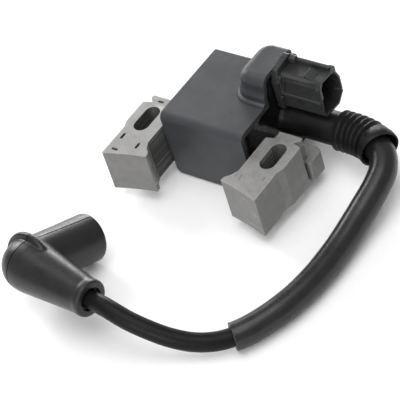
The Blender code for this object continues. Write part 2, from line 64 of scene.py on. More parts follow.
def mount_place(name):
    return Vector(next(m["pos_m"] for m in RECORD["mounts"] if m["name"] == name)) / MM


SWIVEL = next(j for j in RECORD["behaviour"]["joints"] if j["name"] == "plug_cap_swivel")
ELBOW = Vector(SWIVEL["pos_m"]) / MM
NECK_WAY = Vector(SWIVEL["axis"]).normalized()
MOUTH_WAY = Vector(next(m["axis"] for m in RECORD["mounts"] if m["name"] == "plug_cap_mouth"))
MOUTH_WAY.normalize()
MOUTH_LENGTH = (mount_place("plug_cap_mouth") - ELBOW).dot(MOUTH_WAY)
LEG_LOW, LEG_HIGH = node_box("right_core_leg")
BAR_LOW, BAR_HIGH = node_box("core_bar")
CASE_LOW, HOOD_TOP = node_box("coil_case")
RIM_X = HOOD_TOP.x
FACE_Z = LEG_HIGH.z  # top face of the core
POLE_Y = LEG_LOW.y  # the pole tips
SOCKET_LOW = node_box("connector_housing")[0]


def datum(x, y, z):
    """A place measured from the bolt slots' middle, the pole tips and the core's top face."""
    return Vector((x, y + POLE_Y, z + FACE_Z))


HALF_SPACING = 30.0  # from the middle to a bolt slot
SLOT_MIDDLE = 22.6
SLOT_REACH = 7.2
SLOT_RADIUS = 3.25
LEFT_INNER = -21.5  # the left leg's side towards the case
# how strongly painted shade darkens the left leg's inner side and the bolt slots
SHADE_ON_SIDE = 0.85
SHADE_IN_SLOT = 0.8


# ---------------------------------------------------------------- camera, light and floor

CAMERA_TURN = math.radians(47.5)
CAMERA_HEIGHT = math.radians(42.64)
CAMERA_ROLL = math.radians(18.65)
CAMERA_DISTANCE = 754.6
CAMERA_LENS = 183.65
SENSOR = 36.0
SKY_STRENGTH = 0.42


def studio():
    centre = datum(16.3, -7.0, 0.0)
    turn, height = CAMERA_TURN, CAMERA_HEIGHT
    back = Vector((math.sin(turn) * math.cos(height), -math.cos(turn) * math.cos(height),
                   math.sin(height)))
    side = Vector((0, 0, 1)).cross(back).normalized()
    up = back.cross(side)
    rolled_up = up * math.cos(CAMERA_ROLL) + side * math.sin(CAMERA_ROLL)
    rolled_side = rolled_up.cross(back)
    lens = bpy.data.cameras.new("camera")
    lens.lens = CAMERA_LENS
    lens.sensor_width = SENSOR
    lens.clip_start, lens.clip_end = 0.05, 10.0
    camera = bpy.data.objects.new("camera", lens)
    bpy.context.scene.collection.objects.link(camera)
    place = (centre + back * CAMERA_DISTANCE) * MM
    axes = Matrix((rolled_side, rolled_up, back)).transposed().to_4x4()
    camera.matrix_world = Matrix.Translation(place) @ axes
    bpy.context.scene.camera = camera
    bpy.context.scene.view_settings.view_transform = "Standard"


def soft_light(name, place, size, power, aim=(0.0, 0.0, 20.0), colour=(1.0, 1.0, 1.0)):
    lamp = bpy.data.lights.new(name, "AREA")
    lamp.shape = "RECTANGLE"
    lamp.size, lamp.size_y = size[0] * MM, size[1] * MM
    lamp.energy = power
    lamp.color = colour
    made = bpy.data.objects.new(name, lamp)
    made.location = Vector(place) * MM
    made.rotation_euler = (Vector(aim) - Vector(place)).to_track_quat("-Z", "Y").to_euler()
    bpy.context.scene.collection.objects.link(made)
    return made


def lights():
    world = bpy.data.worlds.new("studio")
    world.use_nodes = True
    sky = world.node_tree.nodes["Background"]
    sky.inputs["Color"].default_value = (1.0, 1.0, 1.0, 1.0)
    sky.inputs["Strength"].default_value = SKY_STRENGTH
    bpy.context.scene.world = world
    soft_light("key_light", (60, -120, 620), (560, 560), 2.7)
    soft_light("fill_light", (120, -540, 230), (320, 300), 1.3)
    soft_light("back_light", (-300, 410, 130), (300, 150), 1.5)
    soft_light("side_light", (-480, 130, 270), (240, 260), 2.1)


def floor():
    bpy.ops.mesh.primitive_plane_add(size=6.0, location=(0.0, 0.0, -0.0002))
    ground = bpy.context.object
    ground.name = "floor"
    paint, shader = new_material("floor_paper")
    tint = noise(paint, 6.0, 3.0)
    ramp(paint, tint, shader.inputs["Base Color"], [(0.3, 0.93), (0.7, 0.95)])
    shader.inputs["Roughness"].default_value = 0.9
    ground.data.materials.append(paint)


# ---------------------------------------------------------------- material building blocks

def new_material(name):
    made = bpy.data.materials.new(name)
    made.use_nodes = True
    return made, made.node_tree.nodes["Principled BSDF"]


def node(paint, kind, **values):
    made = paint.node_tree.nodes.new(kind)
    for key, value in values.items():
        setattr(made, key, value)
    return made


def link(paint, start, end):
    paint.node_tree.links.new(start, end)


def object_places(paint, stretch=(1.0, 1.0, 1.0)):
    places = node(paint, "ShaderNodeTexCoord")
    scale = node(paint, "ShaderNodeMapping")
    scale.inputs["Scale"].default_value = stretch
    link(paint, places.outputs["Object"], scale.inputs["Vector"])
    return scale.outputs["Vector"]


def noise(paint, size_mm, detail=4.0, stretch=(1.0, 1.0, 1.0), rough=0.55):
    """Noise whose features are about size_mm across."""
    made = node(paint, "ShaderNodeTexNoise")
    made.inputs["Scale"].default_value = 1.0 / (size_mm * MM)
    made.inputs["Detail"].default_value = detail
    made.inputs["Roughness"].default_value = rough
    link(paint, object_places(paint, stretch), made.inputs["Vector"])
    return made.outputs["Fac"]


def ramp(paint, source, target, stops):
    made = node(paint, "ShaderNodeValToRGB")
    line = made.color_ramp.elements
    while len(line) < len(stops):
        line.new(0.5)
    for element, (place, colour) in zip(line, stops):
        element.position = place
        channels = colour if hasattr(colour, "__len__") else (colour, colour, colour)
        element.color = (*channels, 1.0)
    link(paint, source, made.inputs["Fac"])
    if target is not None:
        link(paint, made.outputs["Color"], target)
    return made.outputs["Color"]


def mix(paint, first, second, share, mode="MIX"):
    made = node(paint, "ShaderNodeMix", data_type="RGBA", blend_type=mode)
    if hasattr(share, "is_linked"):
        link(paint, share, made.inputs["Factor"])
    else:
        made.inputs["Factor"].default_value = share
    for socket, value in ((made.inputs["A"], first), (made.inputs["B"], second)):
        if hasattr(value, "is_linked"):
            link(paint, value, socket)
        else:
            socket.default_value = (*value, 1.0)
    return made.outputs["Result"]


def math_node(paint, operation, first, second=0.0):
    made = node(paint, "ShaderNodeMath", operation=operation)
    for socket, value in zip(made.inputs, (first, second)):
        if hasattr(value, "is_linked"):
            link(paint, value, socket)
        else:
            socket.default_value = value
    return made.outputs["Value"]


def bump(paint, shader, height, depth_mm, strength=1.0, below=None):
    made = node(paint, "ShaderNodeBump")
    made.inputs["Strength"].default_value = strength
    made.inputs["Distance"].default_value = depth_mm * MM
    link(paint, height, made.inputs["Height"])
    if below is not None:
        link(paint, below, made.inputs["Normal"])
    link(paint, made.outputs["Normal"], shader.inputs["Normal"])
    return made.outputs["Normal"]


def edge_wear(paint, sharpness=(0.52, 0.62)):
    """White along convex edges, from the geometry's pointiness."""
    shape = node(paint, "ShaderNodeNewGeometry")
    return ramp(paint, shape.outputs["Pointiness"], None,
                [(sharpness[0], 0.0), (sharpness[1], 1.0)])


# ---------------------------------------------------------------- materials

def moulded(name, dark, light, rough, grain_mm=0.25, grain_depth=0.02, patch_mm=9.0, edge=None,
            shine=0.5):
    """Moulded plastic: a faint patchy colour, a fine spark-eroded grain and rubbed edges."""
    paint, shader = new_material(name)
    patches = noise(paint, patch_mm, 5.0)
    colour = ramp(paint, patches, None, [(0.35, dark), (0.68, light)])
    if edge:
        colour = mix(paint, colour, edge, edge_wear(paint))
    link(paint, colour, shader.inputs["Base Color"])
    shader.inputs["Specular IOR Level"].default_value = shine
    smears = noise(paint, patch_mm * 0.6, 6.0, rough=0.65)
    ramp(paint, smears, shader.inputs["Roughness"], [(0.3, rough - 0.05), (0.75, rough + 0.07)])
    coarse = bump(paint, shader, noise(paint, patch_mm * 0.4, 2.0), 0.03, 0.35)
    bump(paint, shader, noise(paint, grain_mm, 3.0), grain_depth, 0.6, below=coarse)
    return paint


def case_plastic():
    return moulded("case_plastic", (0.024, 0.026, 0.029), (0.036, 0.038, 0.042), 0.48, 0.3, 0.03,
                   edge=(0.075, 0.077, 0.083), shine=0.3)


def connector_plastic():
    return moulded("connector_plastic", (0.022, 0.0225, 0.023), (0.034, 0.0345, 0.035), 0.30,
                   0.35, 0.012, 6.0, edge=(0.05, 0.051, 0.052), shine=0.32)


def rubber(name, dark=0.013, light=0.022, rough=0.5, bloom=0.03, shine=0.5):
    """Moulded rubber: satin, with a faint grey bloom and specks of dust."""
    paint, shader = new_material(name)
    cloud = noise(paint, 7.0, 6.0, rough=0.6)
    colour = ramp(paint, cloud, None, [(0.3, dark), (0.7, light)])
    specks = ramp(paint, noise(paint, 0.5, 2.0), None, [(0.70, 0.0), (0.76, 1.0)])
    colour = mix(paint, colour, (bloom, bloom, bloom * 1.02), specks)
    link(paint, colour, shader.inputs["Base Color"])
    ramp(paint, noise(paint, 3.0, 6.0), shader.inputs["Roughness"],
         [(0.3, rough - 0.07), (0.75, rough + 0.08)])
    shader.inputs["Specular IOR Level"].default_value = shine
    coarse = bump(paint, shader, noise(paint, 2.5, 3.0), 0.05, 0.4)
    bump(paint, shader, noise(paint, 0.22, 3.0), 0.02, 0.6, below=coarse)
    return paint


def epoxy():
    paint, shader = new_material("epoxy")
    ramp(paint, noise(paint, 6.0, 3.0), shader.inputs["Base Color"], [(0.3, 0.005), (0.7, 0.010)])
    ramp(paint, noise(paint, 4.0, 5.0), shader.inputs["Roughness"], [(0.3, 0.06), (0.75, 0.16)])
    shader.inputs["Specular IOR Level"].default_value = 0.4
    bump(paint, shader, noise(paint, 3.5, 2.0), 0.25, 0.5)
    return paint


def painted_shade(paint):
    """White in the bolt slots and on the left leg's inner side, where shade is painted into the
    steel's colour.
    """
    places = node(paint, "ShaderNodeTexCoord")
    spot = node(paint, "ShaderNodeSeparateXYZ")
    link(paint, places.outputs["Object"], spot.inputs["Vector"])
    across = math_node(paint, "SUBTRACT", math_node(paint, "ABSOLUTE", spot.outputs["X"]),
                       HALF_SPACING * MM)
    middle = (SLOT_MIDDLE + POLE_Y) * MM
    along = math_node(paint, "SUBTRACT", math_node(paint, "ABSOLUTE", math_node(
        paint, "SUBTRACT", spot.outputs["Y"], middle)), SLOT_REACH / 2 * MM)
    along = math_node(paint, "MAXIMUM", along, 0.0)
    out = math_node(paint, "SQRT", math_node(
        paint, "ADD", math_node(paint, "MULTIPLY", across, across),
        math_node(paint, "MULTIPLY", along, along)))
    in_slot = math_node(paint, "LESS_THAN", out, (SLOT_RADIUS + 0.02) * MM)
    facing_way = node(paint, "ShaderNodeSeparateXYZ")
    link(paint, places.outputs["Normal"], facing_way.inputs["Vector"])
    inner = math_node(paint, "GREATER_THAN", facing_way.outputs["X"], 0.75)
    left = math_node(paint, "LESS_THAN", spot.outputs["X"], (LEFT_INNER + 0.4) * MM)
    inner = math_node(paint, "MULTIPLY", math_node(paint, "MULTIPLY", inner, left),
                      SHADE_ON_SIDE)
    in_slot = math_node(paint, "MULTIPLY", in_slot, SHADE_IN_SLOT)
    return math_node(paint, "MAXIMUM", in_slot, inner)


def core_steel():
    """Blasted lamination stack: warm matt grey, mottled, with dark joints between sheets; shade is
    painted into the bolt slots and onto the left leg's inner side.
    """
    paint, shader = new_material("core_steel")
    mottle = ramp(paint, noise(paint, 4.0, 8.0, rough=0.7), None,
                  [(0.30, (0.205, 0.203, 0.198)), (0.72, (0.285, 0.282, 0.275))])
    grain = ramp(paint, noise(paint, 0.45, 4.0, rough=0.7), None, [(0.25, 0.66), (0.75, 1.06)])
    colour = mix(paint, mottle, grain, 1.0, "MULTIPLY")
    colour = mix(paint, colour, (0.38, 0.376, 0.367), edge_wear(paint, (0.54, 0.68)))
    # painted shade: near-black steel in the bolt slots and on the left leg's inner side
    colour = mix(paint, colour, (0.035, 0.035, 0.034), painted_shade(paint))
    link(paint, colour, shader.inputs["Base Color"])
    shader.inputs["Metallic"].default_value = 0.2
    ramp(paint, noise(paint, 2.0, 6.0), shader.inputs["Roughness"], [(0.3, 0.46), (0.7, 0.62)])
    coarse = bump(paint, shader, noise(paint, 1.2, 5.0), 0.06, 0.5)
    bump(paint, shader, noise(paint, 0.25, 4.0), 0.03, 0.7, below=coarse)
    return paint


def metal(name, dark, light, rough, scratch=(1.0, 1.0, 1.0)):
    paint, shader = new_material(name)
    ramp(paint, noise(paint, 1.6, 6.0, scratch, 0.7), shader.inputs["Base Color"],
         [(0.3, dark), (0.7, light)])
    shader.inputs["Metallic"].default_value = 1.0
    ramp(paint, noise(paint, 0.8, 5.0, scratch), shader.inputs["Roughness"],
         [(0.3, rough - 0.08), (0.7, rough + 0.1)])
    bump(paint, shader, noise(paint, 0.3, 3.0, scratch), 0.01, 0.5)
    return paint


def wound_copper():
    """Enamelled wire, laid in turns across X."""
    paint, shader = new_material("enamelled_copper")
    turns = node(paint, "ShaderNodeTexWave", wave_type="BANDS", bands_direction="X")
    turns.inputs["Scale"].default_value = 1.0 / (0.45 * MM) / (2 * math.pi) * 2.0
    turns.inputs["Distortion"].default_value = 0.6
    turns.inputs["Detail"].default_value = 2.0
    link(paint, object_places(paint), turns.inputs["Vector"])
    ramp(paint, turns.outputs["Fac"], shader.inputs["Base Color"],
         [(0.15, (0.16, 0.045, 0.015)), (0.7, (0.62, 0.25, 0.10))])
    shader.inputs["Metallic"].default_value = 0.9
    ramp(paint, noise(paint, 1.0, 4.0), shader.inputs["Roughness"], [(0.3, 0.22), (0.7, 0.36)])
    bump(paint, shader, turns.outputs["Fac"], 0.1, 0.8)
    return paint


def board():
    paint, shader = new_material("circuit_laminate")
    tracks = node(paint, "ShaderNodeTexBrick")
    tracks.inputs["Scale"].default_value = 1.0 / (2.2 * MM)
    tracks.inputs["Mortar Size"].default_value = 0.06
    tracks.inputs["Color1"].default_value = (0.012, 0.10, 0.04, 1.0)
    tracks.inputs["Color2"].default_value = (0.016, 0.12, 0.05, 1.0)
    tracks.inputs["Mortar"].default_value = (0.05, 0.24, 0.09, 1.0)
    link(paint, object_places(paint), tracks.inputs["Vector"])
    colour = mix(paint, tracks.outputs["Color"], (0.02, 0.14, 0.06), noise(paint, 0.8, 4.0))
    link(paint, colour, shader.inputs["Base Color"])
    ramp(paint, noise(paint, 2.0, 4.0), shader.inputs["Roughness"], [(0.3, 0.3), (0.7, 0.45)])
    bump(paint, shader, tracks.outputs["Fac"], 0.03, 0.5)
    return paint


# ---------------------------------------------------------------- shape building blocks

def rounded(corners, radii, inset=0.0, steps=5):
    """A closed outline through the corners, offset inwards by inset, with an arc at each one."""
    corners = [Vector(c) for c in corners]
    if not hasattr(radii, "__len__"):
        radii = [radii] * len(corners)
    area = sum(a.cross(b) for a, b in zip(corners, corners[1:] + corners[:1]))
    if area < 0:
        corners, radii = corners[::-1], list(radii)[::-1]
    outline = []
    for i, here in enumerate(corners):
        way_in = (here - corners[i - 1]).normalized()
        way_out = (corners[(i + 1) % len(corners)] - here).normalized()
        inward = Vector((-way_in.y - way_out.y, way_in.x + way_out.x))
        corner = here + inward * inset / (1.0 + way_in.dot(way_out))
        if radii[i] <= 0.0:
            outline.append(corner)
            continue
        side = 1.0 if way_in.cross(way_out) > 0 else -1.0
        radius = max(radii[i] - side * inset, 0.03)
        turn = way_in.angle(way_out)
        start = corner - way_in * radius * math.tan(turn / 2)
        spoke = Vector((way_in.y, -way_in.x)) * radius * side
        centre = start - spoke
        for k in range(steps + 1):
            angle = side * turn * k / steps
            outline.append(centre + Matrix.Rotation(angle, 2) @ spoke)
    return outline


def lay(a, b, height, along):
    """A point of an outline that is swept along X (drawn as Y, Z), Y (as X, Z) or Z (as X, Y)."""
    if along == "X":
        return datum(height, a, b)
    return datum(a, height, b) if along == "Y" else datum(a, b, height)


def skin(rings):
    """A closed body through rings of equally many points, with a flat cap at each end."""
    shape = bmesh.new()
    loops = [[shape.verts.new(place * MM) for place in ring] for ring in rings]
    for low, high in zip(loops, loops[1:]):
        for i in range(len(low)):
            j = (i + 1) % len(low)
            shape.faces.new((low[i], low[j], high[j], high[i]))
    shape.faces.new(loops[0])
    shape.faces.new(loops[-1])
    bmesh.ops.recalc_face_normals(shape, faces=shape.faces)
    return shape


def solid(name, shape):
    mesh = bpy.data.meshes.new(name)
    shape.to_mesh(mesh)
    shape.free()
    made = bpy.data.objects.new(name, mesh)
    bpy.context.scene.collection.objects.link(made)
    return made


def sweep(name, corners, radii, levels, along, steps=5):
    """An outline swept along an axis; levels lists (height, inset)."""
    rings = []
    for height, inset in levels:
        rings.append([lay(a, b, height, along) for a, b in rounded(corners, radii, inset, steps)])
    return solid(name, skin(rings))


def edge_levels(end, inwards, radius, draft=0.0, steps=5):
    """Levels of a rounded end, from its flat face to where its side starts."""
    found = []
    for k in range(steps + 1):
        angle = math.pi / 2 * k / steps
        found.append((end + inwards * radius * (1.0 - math.cos(angle)),
                      draft + radius * (1.0 - math.sin(angle))))
    return found


def plain_levels(low, high, low_edge=0.2, high_edge=0.2, steps=2):
    top = edge_levels(high, -1, high_edge, steps=steps)
    return edge_levels(low, 1, low_edge, steps=steps) + top[::-1]


def box_corners(low, high):
    return [(low[0], low[1]), (high[0], low[1]), (high[0], high[1]), (low[0], high[1])]


def settle(made):
    """Applies an object's modifiers."""
    bpy.context.view_layer.update()
    seen = made.evaluated_get(bpy.context.evaluated_depsgraph_get())
    mesh = bpy.data.meshes.new_from_object(seen)
    made.modifiers.clear()
    old, made.data = made.data, mesh
    bpy.data.meshes.remove(old)
    return made


def combined(base, joined=(), cut=(), common=()):
    for tools, operation in ((joined, "UNION"), (cut, "DIFFERENCE"), (common, "INTERSECT")):
        for tool in tools:
            step = base.modifiers.new(operation.lower(), "BOOLEAN")
            step.operation = operation
            step.object = tool
    settle(base)
    for tool in (*joined, *cut, *common):
        bpy.data.objects.remove(tool, do_unlink=True)
    return base


def ease_edges(made, chosen, width, segments=2):
    """Rounds the edges for which chosen(edge) holds."""
    shape = bmesh.new()
    shape.from_mesh(made.data)
    edges = [e for e in shape.edges if len(e.link_faces) == 2 and chosen(e)]
    bmesh.ops.bevel(shape, geom=edges, offset=width * MM, segments=segments, profile=0.5,
                    affect="EDGES", clamp_overlap=True)
    shape.to_mesh(made.data)
    shape.free()
    return made


def show(made, paint, body, slot, *replaced, crease=35.0, weighted=True):
    """Hands a finished piece its material, shading and body, and hides the nodes it stands for;
    slot is not used.
    """
    made.data.materials.clear()
    made.data.materials.append(paint)
    if made.type == "MESH":
        made.data.shade_smooth()
        made.data.set_sharp_from_angle(angle=math.radians(crease))
        if weighted:
            made.modifiers.new("normals", "WEIGHTED_NORMAL").keep_sharp = True
    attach(made, body)
    if replaced:
        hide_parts(*replaced)
    return made


def facing(direction):
    """Two unit vectors across a direction, and the direction itself."""
    way = Vector(direction).normalized()
    start = Vector((0, 0, 1)) if abs(way.z) < 0.9 else Vector((1, 0, 0))
    side = start.cross(way).normalized()
    return side, way.cross(side), way


def ring(centre, axes, radius, sides):
    side, up, _ = axes
    angles = [2 * math.pi * i / sides for i in range(sides)]
    return [centre + (side * math.cos(a) + up * math.sin(a)) * radius for a in angles]


def turned(name, origin, direction, profile, sides=64):
    """A turned body; profile lists (distance along the axis, radius)."""
    axes = facing(direction)
    rings = [ring(origin + axes[2] * along, axes, radius, sides) for along, radius in profile]
    return solid(name, skin(rings))


# ---------------------------------------------------------------- the lead's route

LEAD_Y = 51.0
LEAD_Z = -8.5
LEAD_RADIUS = 3.65
FREE_RUN = [
    (49.5, 50.8, -8.6), (56.5, 49.4, -9.0), (62.1, 46.0, -9.9), (65.4, 40.3, -11.4),
    (66.3, 33.3, -13.2), (66.2, 26.0, -15.1), (66.0, 18.0, -16.8), (66.0, 9.0, -18.1),
    (65.9, 0.0, -18.8), (65.5, -9.0, -19.0), (64.4, -18.0, -19.0), (62.3, -27.0, -19.0),
    (59.1, -35.5, -19.0), (54.9, -43.5, -18.9), (49.3, -50.2, -18.4), (42.4, -55.3, -16.8),
    (34.6, -58.8, -14.0), (26.7, -60.8, -10.9), (19.0, -61.8, -8.1),
]


def smooth_route(places, fine=12):
    """A centripetal Catmull-Rom curve through the places, as a dense list of points."""
    ends = [places[0] * 2 - places[1], *places, places[-1] * 2 - places[-2]]
    dense = []
    for a, b, c, d in zip(ends, ends[1:], ends[2:], ends[3:]):
        t0 = 0.0
        t1 = t0 + math.sqrt((b - a).length)
        t2 = t1 + math.sqrt((c - b).length)
        t3 = t2 + math.sqrt((d - c).length)
        for i in range(fine):
            t = t1 + (t2 - t1) * i / fine
            ab, bc = a.lerp(b, (t - t0) / (t1 - t0)), b.lerp(c, (t - t1) / (t2 - t1))
            cd = c.lerp(d, (t - t2) / (t3 - t2))
            abc, bcd = ab.lerp(bc, (t - t0) / (t2 - t0)), bc.lerp(cd, (t - t1) / (t3 - t1))
            dense.append(abc.lerp(bcd, (t - t1) / (t2 - t1)))
    return dense + [places[-1]]


def lead_route():
    straight = [datum(x, LEAD_Y, LEAD_Z) for x in (9.9, 18.0, 26.0, 34.0, 42.0)]
    into_cap = [ELBOW + NECK_WAY * d for d in (42.0, 34.0, 26.0, 18.0, 10.0)]
    return smooth_route(straight + [datum(*p) for p in FREE_RUN] + into_cap)


ROUTE = lead_route()
MARKS = [0.0]
for first, second in zip(ROUTE, ROUTE[1:]):
    MARKS.append(MARKS[-1] + (second - first).length)
LEAD_LENGTH = MARKS[-1]


def carried_axes():
    """Axes carried along the route without twist."""
    axes = [facing(ROUTE[1] - ROUTE[0])]
    for i in range(1, len(ROUTE)):
        ahead = ROUTE[min(i + 1, len(ROUTE) - 1)] - ROUTE[i - 1]
        way = ahead.normalized()
        side, up, old = axes[-1]
        turn = old.rotation_difference(way)
        axes.append((turn @ side, turn @ up, way))
    return axes


AXES = carried_axes()


def on_route(distance):
    """The place and the axes at a distance along the lead."""
    i = 1
    while i < len(MARKS) - 1 and MARKS[i] < distance:
        i += 1
    share = (distance - MARKS[i - 1]) / (MARKS[i] - MARKS[i - 1])
    place = ROUTE[i - 1].lerp(ROUTE[i], share)
    part = min(max(share, 0.0), 1.0)
    axes = [a.lerp(b, part).normalized() for a, b in zip(AXES[i - 1], AXES[i])]
    return place, axes


def sleeve_like(name, profile, sides=40):
    """A body swept along the lead; profile lists (distance, radius), out along it and back."""
    rings = []
    for distance, radius in profile:
        place, axes = on_route(distance)
        rings.append(ring(place, axes, radius, sides))
    return solid(name, skin(rings))


# ---------------------------------------------------------------- laminated core

SHEETS = 38
STACK = LEG_HIGH.z - LEG_LOW.z
POLE_RADIUS = 114.4


def sheet_levels(low, high, groove=0.07, wander=0.035, grow=1.0):
    """Levels of a stack of sheets, with a groove at each joint and edges that stagger a little."""
    sheets = round((high - low) / (STACK / SHEETS))
    pitch = (high - low) / sheets
    found = [(low, grow * 0.14)]
    for i in range(sheets):
        out = grow * RANDOM.uniform(0.0, wander)
        start = low + i * pitch
        found += [(start + 0.07, out), (start + pitch - 0.07, out)]
        found.append((start + pitch, grow * (groove if i < sheets - 1 else 0.14)))
    return found


def leg_outline(side):
    """Pole shoe with its nose on the inner side, jogged outer side and back corners."""
    half = HALF_SPACING
    outer, inner = half + 6.2, half - 12.3
    drop = math.sqrt(POLE_RADIUS ** 2 - outer ** 2)
    count = 8
    corners, radii = [], []
    for i in range(count + 1):
        x = inner + (outer - inner) * i / count
        corners.append((x, math.sqrt(POLE_RADIUS ** 2 - x ** 2) - drop))
        radii.append(0.5 if i in (0, count) else 0.0)
    for x, y, radius in ((outer, 15.5, 1.0), (half + 7.4, 18.7, 1.0), (half + 7.4, 30.4, 0.8),
                         (half + 3.6, 31.3, 0.3), (half - 4.5, 31.3, 0.3), (half - 8.5, 30.4, 0.8),
                         (half - 8.5, 11.6, 2.5), (half - 10.0, 8.6, 2.2), (half - 12.0, 6.6, 0.9)):
        corners.append((x, y))
        radii.append(radius)
    return [(side * x, y) for x, y in corners], radii


def tab_outline(side):
    half = HALF_SPACING
    corners = [(half + 3.6, 29.0), (half + 3.6, 31.3), (half + 5.5, 33.4), (half + 5.4, 35.0),
               (half - 5.2, 35.0), (half - 4.5, 31.3), (half - 4.5, 29.0)]
    return [(side * x, y) for x, y in corners], [0.0, 0.4, 0.4, 0.6, 0.6, 0.4, 0.0]


def stadium(middle, reach, radius, along_y=True, steps=10):
    """A slot's outline: two half circles whose centres are reach apart."""
    outline = []
    for end, start in ((1, 0.0), (-1, math.pi)):
        for k in range(steps + 1):
            angle = start + math.pi * k / steps
            spot = Vector((radius * math.cos(angle), radius * math.sin(angle) + end * reach / 2))
            if not along_y:
                spot = Vector((spot.y, -spot.x))
            outline.append((middle[0] + spot.x, middle[1] + spot.y))
    return outline


def core_leg(name, side, dash_depth):
    """A stack of stamped sheets with its bolt slot and the dashes that lock the sheets together."""
    low = LEG_LOW.z - FACE_Z
    leg = sweep(name, *leg_outline(side), sheet_levels(low, 0.0), "Z", 4)
    tab = sweep("tab", *tab_outline(side), sheet_levels(BAR_HIGH.z - FACE_Z + 0.3, -0.004), "Z", 3)
    slot = stadium((side * HALF_SPACING, SLOT_MIDDLE), SLOT_REACH, SLOT_RADIUS)
    slot_levels = [(low - 1, 0)] + sheet_levels(low, 0.0, grow=-1.0) + [(1, 0)]
    tools = [sweep("slot", slot, 0.0, slot_levels, "Z")]
    dash_radius = 0.36 if side > 0 else 0.54
    dash_levels = [(-dash_depth, 0.12), (-0.05, 0.0), (0.0, -0.05), (0.5, -0.3)]
    for x, y, length, along_y in ((30.1, 32.6, 2.7, False), (33.5, 11.1, 3.3, True),
                                  (24.5, 8.6, 3.2, True), (32.2, 3.8, 2.9, False)):
        dash = stadium((side * x, y), length - 1.0, dash_radius, along_y, 4)
        tools.append(sweep("dash", dash, 0.0, dash_levels, "Z"))
    combined(leg, [tab], tools)
    return show(leg, STEEL, COIL, "core_steel", name, crease=30.0)


def core():
    for name, side, depth in (("right_core_leg", 1, 0.16), ("left_core_leg", -1, 1.6)):
        made = core_leg(name, side, depth)
        made.name = f"{name}_stack"
    low, high = BAR_LOW - datum(0, 0, 0), BAR_HIGH - datum(0, 0, 0)
    bar = sweep("yoke_bar_stack", box_corners(low, high), [0.8, 0.8, 2.4, 0.8],
                sheet_levels(low.z, high.z), "Z", 4)
    show(bar, STEEL, COIL, "core_steel", "core_bar", crease=30.0)


# ---------------------------------------------------------------- case and potting

CASE_BACK = CASE_LOW.x
WALL = 1.8
CASE_FRONT = 20.4
CASE_REAR = 61.0
CASE_FLOOR = -24.5
CASE_ROOF = 7.4
CASE_CORNERS = [(CASE_FRONT, CASE_FLOOR), (CASE_REAR, CASE_FLOOR), (CASE_REAR, CASE_ROOF),
                (CASE_FRONT, CASE_ROOF)]
CASE_RADII = [1.0, 1.0, 1.2, 3.4]
CASE_SIDE = [(CASE_BACK, CASE_FLOOR), (40.0, CASE_FLOOR), (40.0, CASE_ROOF),
             (CASE_BACK, CASE_ROOF)]
HOOD_TOP_Z = 18.85
HOOD_BACK = 60.7
HOOD_CORNER = (4.5, 40.0)


def hood_levels():
    """Flare, lobe, waist and rounded top of the hood, as (height, inset)."""
    flare = [(6.0, -2.9), (7.2, -2.8)]
    for k in range(1, 7):
        angle = math.pi / 2 * k / 6
        flare.append((7.2 + 1.5 * math.sin(angle), -2.8 + 1.6 * (1 - math.cos(angle))))
    lobe = [(9.6, -1.15), (10.4, -1.12), (11.1, -0.95), (11.8, -0.55), (12.5, -0.2), (13.2, 0.0)]
    return flare + lobe + edge_levels(HOOD_TOP_Z, -1, 4.0, 0.2, 8)[::-1]


def hood_body(name, levels, back, top, back_edge):
    """The hood's plan at each level. Its back wall stays upright up to a small edge radius."""
    rings = []
    for height, inset in levels:
        drop = max(height - (top - back_edge), 0.0)
        wall = back - back_edge + math.sqrt(max(back_edge ** 2 - drop ** 2, 0.0))
        x, y = HOOD_CORNER
        corners = [(x, y), (x + 30, y), (x + 30, wall + inset), (x, wall + inset)]
        plan = rounded(corners, [5.5, 1, 1, 6.5], inset, 8)
        rings.append([lay(a, b, height, "Z") for a, b in plan])
    return solid(name, skin(rings))


def coil_case():
    rim_edge = [(RIM_X, 0.0)]
    body = sweep("coil_case_shell", CASE_CORNERS, CASE_RADII,
                 edge_levels(CASE_BACK, 1, 0.9, 0.12) + rim_edge, "X", 8)
    side = sweep("side", CASE_SIDE, [5.0, 0.0, 0.0, 0.9], [(10.0, 0.0), (70.0, 0.0)], "Y", 10)
    combined(body, common=[side])
    hood = hood_body("hood", hood_levels(), HOOD_BACK, HOOD_TOP_Z, 2.2)
    trim = sweep("trim", box_corners((20, 0), (70, 40)), 0.0, [(RIM_X, 0), (RIM_X + 30, 0)], "X")
    combined(hood, cut=[trim])
    hollow = sweep("hollow", CASE_CORNERS, CASE_RADII,
                   edge_levels(CASE_BACK + WALL, 1, 1.5, WALL + 0.2) + [(RIM_X + 2, WALL)], "X", 8)
    inner = [(4.0, 0.65), (11.0, 0.65), (13.2, WALL)]
    inner += edge_levels(HOOD_TOP_Z - WALL, -1, 2.6, WALL + 0.2, 6)[::-1]
    hood_hollow = hood_body("hood_hollow", inner, HOOD_BACK - WALL, HOOD_TOP_Z - WALL, 0.6)
    bar = sweep("bar_hole", box_corners((31.6, -19.4), (41.2, -9.55)), 0.4,
                [(CASE_BACK - 1, 0), (CASE_BACK + WALL + 1, 0)], "X")
    combined(body, [hood], [hollow, hood_hollow, bar])

    def at_rim(edge):
        on_rim = all(abs(v.co.x / MM - RIM_X) < 0.01 for v in edge.verts)
        return on_rim and edge.calc_face_angle(0.0) > math.radians(50)

    ease_edges(body, at_rim, 0.32)
    return show(body, CASE, COIL, "case_plastic", "coil_case", crease=40.0)


